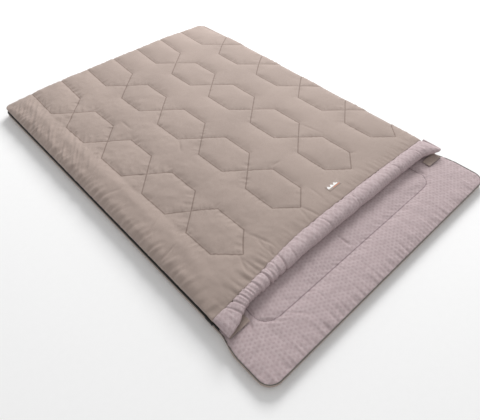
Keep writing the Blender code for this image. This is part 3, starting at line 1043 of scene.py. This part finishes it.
def cuff_folds(co):
    """Gathers across the cuff, deep at the left, and light puckers at its seam."""
    to_seam = max(0.0, CUFF_SEAM_Y - co.y)
    gather = smooth(-0.66, -0.58, co.x) * smooth(-0.33, -0.43, co.x)
    amount = puckers(co.x + 0.25 * co.y, 0.03, 0.0020 + 0.0022 * gather, 0.017, 0.08)
    amount += puckers(co.x, to_seam, 0.0030, 0.013, 0.022)
    amount += 0.0016 * ripple(co, 0.05, 7.0)
    fold = 0.0
    for place, depth, slant in CUFF_GATHERS:
        away = abs(co.x - place + slant * (co.y + 0.76))
        fold += depth * smooth(0.008, 0.0, away)
    return amount - fold * smooth(0.004, 0.035, to_seam)


class QUILT_OT_cuff(bpy.types.Operator):
    """Make the cuff that the lining forms over the cover's head end"""

    bl_idname = "camp_quilt.cuff"
    bl_label = "Cuff"

    def execute(self, context):
        across = stops(-EDGE_X + 0.002, (-0.40, 84), (0.62, 170), (EDGE_X - 0.002, 22))
        along = stops(0.0, (1.0, 40))
        bm = grid_bmesh(across[::-1], along, place_cuff)
        layer = bm.loops.layers.uv["cut"]
        for face in bm.faces:
            for loop in face.loops:
                loop[layer].uv[1] *= CUFF_CUT
        piece = add_piece("cuff_roll", bm, finish_of("lining"), closed=False)
        mesh = piece.data
        held = set()
        slack = []
        cut = []
        for index, vert in enumerate(mesh.vertices):
            x = across[::-1][index % len(across)]
            v = along[index // len(across)]
            if v in (0.0, 1.0) or x in (across[0], across[-1]):
                held.add(index)
            gather = smooth(-0.68, -0.60, x) * smooth(-0.36, -0.44, x)
            slack.append(0.012)
            spare = 0.018 * x + 0.055 * (x + 0.50) * gather
            cut.append(vert.co + Vector((spare, 0, 0)))
        puff(piece, held, slack, limit=0.010, cut=cut, bending=0.15, pressure=2.0, grain=0.0012)
        mark_stitches(piece)
        work_in(piece, cuff_folds)
        for vert in piece.data.vertices:
            vert.co.z = max(vert.co.z, CUFF_LOW.z - 0.0025)
        give_thickness(piece)
        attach(piece, "cover_quilt")
        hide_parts("head_cuff")
        return {"FINISHED"}


def lining_point(x, y, radius_head):
    """A lining's point from its place in the cut cloth: (x, y, drop below its flat)."""
    middle = (FOOT_Y + HEAD_Y) / 2
    high = FOOT_Y - middle
    if y < middle:
        px, py, way, distance = round_corner(x, middle - y, EDGE_X, high, radius_head)
        py = middle - py
        way = Vector((way.x, -way.y))
    else:
        px, py, way, distance = round_corner(x, y - middle, EDGE_X, high, FOOT_CORNER)
        py = middle + py
    drop = LINING_HIGH.z - LINING_LOW.z - 0.0001
    share = min(1.0, max(0.0, (distance - SEAM_INSET) / (LINING_ROUND - SEAM_INSET)))
    return px, py, drop * (1 - sqrt(max(0.0, 1 - (1 - share) ** 2)))


RING_LEFT = -0.585
RING_RIGHT = 0.535
RING_HEAD = -0.890
RING_FOOT = 0.90
RING_CORNER = 0.090
RING_DEPTH = 0.0055  # how far the ring's stitch line lies below the lining


def ring_distance(x, y):
    """Distance from the lining's stitched ring, a rectangle with round corners."""
    middle_x, middle_y = (RING_LEFT + RING_RIGHT) / 2, (RING_HEAD + RING_FOOT) / 2
    over_x = abs(x - middle_x) - (RING_RIGHT - RING_LEFT) / 2 + RING_CORNER
    over_y = abs(y - middle_y) - (RING_FOOT - RING_HEAD) / 2 + RING_CORNER
    outside = hypot(max(over_x, 0), max(over_y, 0))
    return abs(outside + min(max(over_x, over_y), 0.0) - RING_CORNER)


def onto_ring(x, y, near):
    """Moves a point that is near the stitched ring onto it."""
    if ring_distance(x, y) > near:
        return x, y
    step = 0.0001
    for _ in range(3):
        here = ring_distance(x, y)
        slope_x = (ring_distance(x + step, y) - here) / step
        slope_y = (ring_distance(x, y + step) - here) / step
        x -= here * slope_x
        y -= here * slope_y
    return x, y


TUCKS = (
    ((-0.065, -0.785), (-0.062, -0.875), 0.007),
    ((-0.335, -0.915), (-0.338, -0.955), 0.004),
    ((-0.640, -0.870), (-0.590, -0.800), 0.006),
    ((0.540, -0.860), (0.552, -0.800), 0.005),
    ((0.180, -0.800), (0.130, -0.845), 0.003),
    ((-0.480, -0.905), (-0.430, -0.960), 0.003),
)


class QUILT_OT_bottom_lining(bpy.types.Operator):
    """Make the bottom quilt's lining"""

    bl_idname = "camp_quilt.bottom_lining"
    bl_label = "Bottom lining"

    def execute(self, context):
        inset = 0.0018
        across = stops(-EDGE_X + inset, (RING_LEFT, 13), (RING_RIGHT, 116), (EDGE_X - inset, 18))
        along = stops(HEAD_Y + inset, (RING_HEAD, 20), (-0.70, 20), (FOOT_Y - inset, 50))
        near_ring = 0.0052  # a vertex nearer than this is drawn onto the ring

        def place(x, y):
            x, y = onto_ring(x, y, near_ring)
            px, py, drop = lining_point(x, y, HEAD_CORNER)
            open_head = smooth(-0.76, -0.83, py) * smooth(0.60, 0.50, abs(px))
            rise = 0.004 * open_head * smooth(HEAD_Y, HEAD_Y + 0.08, py)
            return Vector((head_flare(px, py), py, LINING_Z - drop + rise))

        bm = grid_bmesh(across, along, place)
        piece = add_piece("bottom_lining_cloth", bm, finish_of("lining"), closed=False)
        mesh = piece.data
        stitched = set()
        held = set()
        slack = []
        for index, vert in enumerate(mesh.vertices):
            x = across[index % len(across)]
            y = along[index // len(across)]
            if ring_distance(x, y) < near_ring:
                stitched.add(index)
            under_tab = y > -0.84 and abs(x) > 0.59
            covered = y > -0.72
            if x in (across[0], across[-1]) or y in (along[0], along[-1]) or under_tab:
                held.add(index)
            slack.append(0.004 if covered else 0.016)
        for index in stitched - held:
            mesh.vertices[index].co.z -= RING_DEPTH
        puff(piece, held | stitched, slack, limit=0.011, pressure=2.0)

        def folds(co):
            to_head = co.y - HEAD_Y
            to_side = EDGE_X + FLARE - abs(co.x)
            open_part = smooth(-0.74, -0.80, co.y)
            amount = puckers(co.x, to_head, 0.0048, 0.016, 0.045)
            amount += puckers(co.y, to_side, 0.0044, 0.017, 0.045)
            amount += puckers(co.x + co.y, ring_distance(co.x, co.y), 0.0032, 0.015, 0.026)
            amount += 0.0020 * ripple(co, 0.05, 2.0) + 0.0010 * ripple(co, 0.022, 4.0)
            mouth = smooth(-0.850, -0.790, co.y) * smooth(0.60, 0.54, abs(co.x + 0.02))
            amount += mouth * (-0.0040 + 0.0030 * noise.noise(Vector((co.x / 0.030, co.y / 0.2, 5.0))))
            free = smooth(0.0, 0.012, min(to_head, to_side))
            return open_part * free * (amount - crease(TUCKS, co.x, co.y))

        work_in(piece, folds)
        mark_stitches(piece, ring_distance)
        for vert in piece.data.vertices:
            if vert.co.y > -0.76:
                top = LINING_Z + 0.0065 if abs(vert.co.x) < 0.66 else LINING_Z
                vert.co.z = min(vert.co.z, top)
        give_thickness(piece)
        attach(piece, "bottom_quilt")
        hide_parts("bottom_lining")
        return {"FINISHED"}


class QUILT_OT_cover_lining(bpy.types.Operator):
    """Make the cover's lining, which faces the sleepers"""

    bl_idname = "camp_quilt.cover_lining"
    bl_label = "Cover lining"

    def execute(self, context):
        inset = SEAM_INSET
        across = stops(-EDGE_X + inset, (RING_LEFT, 14), (RING_RIGHT, 80), (EDGE_X - inset, 19))
        along = stops(CUFF_SEAM_Y - 0.012, (FOOT_Y - inset, 130))

        def place(x, y):
            px, py, drop = lining_point(x, y, HEAD_CORNER)
            ring = 0.0035 * smooth(0.030, 0.0, ring_distance(px, py + 0.15))
            crumple = 0.0012 * (1 + ripple((px, py), 0.09, 5.0))
            crumple += 0.0006 * (1 + ripple((px, py), 0.035, 8.0))
            level = 2 * HINGE.z - LINING_Z + drop
            return Vector((px, py, level + ring + crumple * smooth(0.0, 0.03, EDGE_X - abs(px))))

        bm = grid_bmesh(across, along, place)
        bmesh.ops.reverse_faces(bm, faces=bm.faces)
        piece = add_piece("cover_lining_cloth", bm, finish_of("lining"), closed=False)
        mark_stitches(piece, lambda x, y: ring_distance(x, y + 0.15))
        give_thickness(piece)
        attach(piece, "cover_quilt")
        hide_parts("top_lining")
        return {"FINISHED"}


class QUILT_OT_bottom_cloth(bpy.types.Operator):
    """Make the bottom quilt's outer cloth, which lies on the ground"""

    bl_idname = "camp_quilt.bottom_cloth"
    bl_label = "Bottom outer cloth"

    def execute(self, context):
        across = stops(-EDGE_X - SPARE, (-EDGE_X + 0.04, 12), (EDGE_X - 0.04, 110), (EDGE_X + SPARE, 12))
        along = stops(HEAD_Y - SPARE, (HEAD_Y + 0.04, 12), (FOOT_Y - 0.04, 160), (FOOT_Y + SPARE, 12))
        columns = hexagon_columns()

        def place(x, y):
            px, py, height = outer_point(x, y, head_round=True)
            z = 2 * HINGE.z - SEAM_Z - height
            half = hexagon_half(py)
            groove = 0.0
            if half is not None and z < 0.001:
                away = min(abs(abs(px - column) - half) for column in columns)
                groove = 0.004 * smooth(0.022, 0.0, away)
            return Vector((head_flare(px, py), py, max(z, 0.0) + groove))

        bm = grid_bmesh(across, along, place)
        bmesh.ops.reverse_faces(bm, faces=bm.faces)
        piece = add_piece("bottom_outer_cloth", bm, finish_of("outer"), closed=False)
        mark_stitches(piece)
        give_thickness(piece)
        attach(piece, "bottom_quilt")
        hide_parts("bottom_outer_shell")
        return {"FINISHED"}


def pad(name, low, high, finish, corner=0.05):
    """A soft slab with rounded edges and a fluffy surface."""
    bm = bmesh.new()
    bmesh.ops.create_cube(bm, size=1.0)
    bmesh.ops.scale(bm, vec=high - low, verts=bm.verts)
    bmesh.ops.translate(bm, vec=(low + high) / 2, verts=bm.verts)
    upright = [e for e in bm.edges if abs(e.verts[0].co.z - e.verts[1].co.z) > 0.001]
    bmesh.ops.bevel(
        bm, geom=upright, offset=corner, segments=6, profile=0.5, affect="EDGES", material=-1
    )
    rims = [e for e in bm.edges if abs(e.verts[0].co.z - e.verts[1].co.z) < 0.0001]
    rims = [e for e in rims if e.calc_face_angle(0.0) > 1.0]
    bmesh.ops.bevel(
        bm, geom=rims, offset=(high.z - low.z) * 0.42, segments=3, profile=0.5, affect="EDGES", material=-1
    )
    return add_piece(name, bm, finish)


class QUILT_OT_filling(bpy.types.Operator):
    """Make the two quilts' fillings"""

    bl_idname = "camp_quilt.filling"
    bl_label = "Fillings"

    def execute(self, context):
        inset = 0.090
        cover_low = Vector((inset - EDGE_X, CUFF_SEAM_Y + 0.02, COVER_LINING_LOW.z + 0.0085))
        cover_high = Vector((EDGE_X - inset, FOOT_Y - inset, SEAM_Z + 0.006))
        cover = pad("cover_wadding", cover_low, cover_high, finish_of("wadding"))
        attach(cover, "cover_quilt")
        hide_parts("top_filling")
        inset = 0.050
        low = Vector((inset - EDGE_X, HEAD_Y + inset, 0.0065))
        high = Vector((EDGE_X - inset, FOOT_Y - inset, LINING_Z - 0.013))
        bottom = pad("bottom_wadding", low, high, finish_of("wadding"))
        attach(bottom, "bottom_quilt")
        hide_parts("bottom_filling")
        return {"FINISHED"}


def ring_cord(name, path, radius, sides, finish):
    """A round cord along a closed path of points."""
    count = len(path)

    def place(k, turn):
        along = (path[(k + 1) % count] - path[(k - 1) % count]).normalized()
        side = along.cross(Vector((0, 0, 1))).normalized()
        up = side.cross(along)
        return path[k % count] + radius * (cos(turn) * side + sin(turn) * up)

    turns = [2 * pi * k / sides for k in range(sides + 1)]
    bm = grid_bmesh(list(range(count + 1)), turns, place, around=True)
    return add_piece(name, bm, finish)


def bottom_outline(inset, z, corner_steps=10):
    """Points round the bottom quilt at an inset from its widest line."""
    points = []
    corners = ((1, 1), (-1, 1), (-1, -1), (1, -1))
    for quarter, (side_x, side_y) in enumerate(corners):
        corner = (FOOT_CORNER if side_y > 0 else HEAD_CORNER) - inset
        end_y = FOOT_Y - inset if side_y > 0 else HEAD_Y + inset
        centre = Vector((side_x * (EDGE_X - inset - corner), end_y - side_y * corner))
        for step in range(corner_steps + 1):
            turn = pi / 2 * (quarter + step / corner_steps)
            x = centre.x + corner * cos(turn)
            y = centre.y + corner * sin(turn)
            points.append(Vector((head_flare(x, y), y, z)))
        if quarter in (1, 3):
            way = 1 if quarter == 3 else -1
            cells = 40
            y_from, y_to = (HEAD_Y + HEAD_CORNER, FOOT_Y - FOOT_CORNER)[::way]
            for step in range(1, cells):
                y = y_from + (y_to - y_from) * step / cells
                x = side_x * (EDGE_X - inset)
                points.append(Vector((head_flare(x, y), y, z)))
    return points


class QUILT_OT_piping(bpy.types.Operator):
    """Make the piping round the bottom quilt and the cloth that joins the quilts at the foot"""

    bl_idname = "camp_quilt.piping"
    bl_label = "Piping and foot seam"

    def execute(self, context):
        low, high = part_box("bottom_piping")
        radius = (high.z - low.z) / 2
        path = bottom_outline(SEAM_INSET - 0.0026, (low.z + high.z) / 2)
        piping = ring_cord("edge_piping", path, radius * 1.05, 8, finish_of("piping"))
        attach(piping, "bottom_quilt")
        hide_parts("bottom_piping")

        half_x = EDGE_X - FOOT_CORNER
        across = stops(-half_x, (half_x, 120))
        along = stops(0.0, (1.0, 10))
        reach = SEAM_Z - HINGE.z

        def outside(x, v):
            turn = pi * (v - 0.5)
            pucker = 0.0005 * ripple((x, v * 0.01), 0.012, 2.0)
            depth = 0.0068 + pucker
            back = HINGE.y - 0.0070 * (1 - cos(turn))
            return Vector((x, back + depth * cos(turn), HINGE.z + reach * sin(turn)))

        def inside(x, v):
            turn = pi * (v - 0.5)
            return Vector((x, HINGE.y - 0.0052 - 0.0012 * cos(turn), HINGE.z + 0.0085 * sin(turn)))

        for name, place, finish, slot in (
            ("foot_join_outside", outside, "outer", "outer_cloth"),
            ("foot_join_inside", inside, "lining", "lining_cloth"),
        ):
            bm = grid_bmesh(across[::-1] if name.endswith("outside") else across, along, place)
            strip = add_piece(name, bm, finish_of(finish), closed=False)
            mark_stitches(strip)
            solid = strip.modifiers.new("cloth thickness", "SOLIDIFY")
            solid.thickness = JOIN_CLOTH
            solid.offset = 1.0
            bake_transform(strip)
        dress("foot_binding", "piping")
        return {"FINISHED"}


def tooth_row(name, low, high, pitch):
    """Small rounded teeth side by side along one coil."""
    size = Vector((high.x - low.x, pitch * 0.55, high.z - low.z))
    bm = bmesh.new()
    bmesh.ops.create_cone(bm, cap_ends=True, segments=6, radius1=0.5, radius2=0.36, depth=1.0)
    bmesh.ops.scale(bm, vec=size, verts=bm.verts)
    start = Vector(((low.x + high.x) / 2, low.y + pitch / 2, (low.z + high.z) / 2))
    bmesh.ops.translate(bm, vec=start, verts=bm.verts)
    row = add_piece(name, bm, finish_of("nylon"))
    repeat = row.modifiers.new("teeth", "ARRAY")
    repeat.count = int((high.y - low.y) / pitch)
    repeat.use_relative_offset = False
    repeat.use_constant_offset = True
    repeat.constant_offset_displace = (0, pitch, 0)
    return row


class QUILT_OT_zips(bpy.types.Operator):
    """Make the coils of both zips and finish their tapes, stops, sliders and pulls"""

    bl_idname = "camp_quilt.zips"
    bl_label = "Zips"

    def execute(self, context):
        for side_name, _side in SIDES:
            for level, body in (("lower", "bottom_quilt"), ("upper", "cover_quilt")):
                node = f"zip_coil_{level}_{side_name}"
                low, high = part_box(node)
                coil = tooth_row(f"coil_teeth_{level}_{side_name}", low, high, COIL_PITCH)
                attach(coil, body)
                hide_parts(node)
                dress(f"zip_tape_{level}_{side_name}", "tape")
                dress(f"zip_stop_{level}_{side_name}", "enamel")
            dress(f"zip_slider_{side_name}", "enamel")
            dress(f"zip_pull_{side_name}", "enamel")
        return {"FINISHED"}


class QUILT_OT_tabs(bpy.types.Operator):
    """Make the guard tabs over the zip ends and finish their patches"""

    bl_idname = "camp_quilt.tabs"
    bl_label = "Guard tabs"

    def execute(self, context):
        for side_name, side in SIDES:
            node = f"zip_guard_{side_name}"
            low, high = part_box(node)
            length, width = high.x - low.x, high.y - low.y
            outer_x = high.x if side > 0 else low.x
            across = stops(0.0, (1.0, 24))
            along = stops(0.0, (1.0, 12))
            thick = (high.z - low.z) * 0.9

            def place(s, t):
                taper = 1 - 0.10 * smooth(0.55, 1.0, s)
                y = (low.y + high.y) / 2 + width * (t - 0.5) * taper
                wave = 0.0022 * sin(pi * s) + 0.0005 * ripple((s * 0.1, t * 0.05), 0.02, 4.0)
                return Vector((outer_x - side * length * s, y, high.z + wave))

            bm = grid_bmesh(across[::-side], along, place)
            bmesh.ops.solidify(bm, geom=bm.faces, thickness=thick)
            tab = add_piece(f"guard_tab_{side_name}", bm, finish_of("outer"))
            mark_stitches(tab)
            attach(tab, f"guard_{side_name}")
            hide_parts(node)
            dress(f"hook_patch_{side_name}", "grip")
            dress(f"loop_patch_{side_name}", "grip")
        return {"FINISHED"}


class QUILT_OT_tubes(bpy.types.Operator):
    """Make the draught tubes inside along each zip"""

    bl_idname = "camp_quilt.tubes"
    bl_label = "Draught tubes"

    def execute(self, context):
        for side_name, _side in SIDES:
            node = f"draught_tube_{side_name}"
            low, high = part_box(node)
            middle = (low + high) / 2
            half = (high - low) / 2
            along = stops(low.y, (high.y, 220))
            turns = stops(0.0, (1.0, 16))

            def place(y, v):
                turn = 2 * pi * v
                end = min(1.0, (y - low.y) / 0.02, (high.y - y) / 0.02)
                full = sqrt(max(0.0, 1 - (1 - end) ** 2)) * (0.94 + 0.06 * ripple((y, v * 0.02), 0.02, 6.0))
                x = middle.x + half.x * full * cos(turn)
                return Vector((x, y, middle.z + half.z * max(full, 0.02) * sin(turn)))

            bm = grid_bmesh(along, turns, place, around=True)
            piece = add_piece(f"draught_roll_{side_name}", bm, finish_of("lining"))
            mark_stitches(piece)
            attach(piece, "cover_quilt")
            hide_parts(node)
        return {"FINISHED"}


def surface_of(name):
    """A finished cloth as a tree to look places up on."""
    mesh = bpy.data.objects[name].data
    return BVHTree.FromPolygons([v.co for v in mesh.vertices], [p.vertices for p in mesh.polygons])


class QUILT_OT_badge(bpy.types.Operator):
    """Make the plain woven badge by the cuff"""

    bl_idname = "camp_quilt.badge"
    bl_label = "Badge"

    def execute(self, context):
        low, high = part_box("badge")
        tree = surface_of("cover_outer_cloth")
        across = stops(0.0, (high.x - low.x, 32))
        along = stops(0.0, (high.y - low.y, 12))

        def place(x, y):
            above = Vector((low.x + x, low.y + y, COVER_Z + 0.1))
            hit = tree.ray_cast(above, Vector((0, 0, -1)))[0]
            return hit + Vector((0, 0, 0.0012))

        bm = grid_bmesh(across, along, place)
        bmesh.ops.solidify(bm, geom=bm.faces, thickness=BADGE_CLOTH)
        piece = add_piece("woven_label", bm, finish_of("badge"))
        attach(piece, "cover_quilt")
        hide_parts("badge")
        return {"FINISHED"}


OPERATORS = (
    QUILT_OT_stage,
    QUILT_OT_cover_cloth,
    QUILT_OT_cuff,
    QUILT_OT_bottom_lining,
    QUILT_OT_cover_lining,
    QUILT_OT_bottom_cloth,
    QUILT_OT_filling,
    QUILT_OT_piping,
    QUILT_OT_zips,
    QUILT_OT_tabs,
    QUILT_OT_tubes,
    QUILT_OT_badge,
)


class QUILT_PT_panel(bpy.types.Panel):
    """Lists the pieces of the camp quilt"""

    bl_idname = "QUILT_PT_panel"
    bl_label = "Camp Quilt"
    bl_space_type = "VIEW_3D"
    bl_region_type = "UI"
    bl_category = "Camp Quilt"

    def draw(self, context):
        for operator in OPERATORS:
            self.layout.operator(operator.bl_idname)
        for group in (context.scene.quilt_sizes, context.scene.quilt_colours, context.scene.quilt_stage):
            box = self.layout.box()
            for name in group.bl_rna.properties.keys():
                if name not in ("rna_type", "name"):
                    box.prop(group, name)


GROUPS = (QuiltSizes, QuiltColours, QuiltStage)


def register():
    for item in GROUPS + OPERATORS + (QUILT_PT_panel,):
        bpy.utils.register_class(item)
    bpy.types.Scene.quilt_sizes = PointerProperty(type=QuiltSizes)
    bpy.types.Scene.quilt_colours = PointerProperty(type=QuiltColours)
    bpy.types.Scene.quilt_stage = PointerProperty(type=QuiltStage)


def unregister():
    del bpy.types.Scene.quilt_stage
    del bpy.types.Scene.quilt_colours
    del bpy.types.Scene.quilt_sizes
    for item in reversed(GROUPS + OPERATORS + (QUILT_PT_panel,)):
        bpy.utils.unregister_class(item)


def main():
    register()
    for operator in OPERATORS:
        group, name = operator.bl_idname.split(".")
        getattr(getattr(bpy.ops, group), name)()


if __name__ == "__main__":
    main()
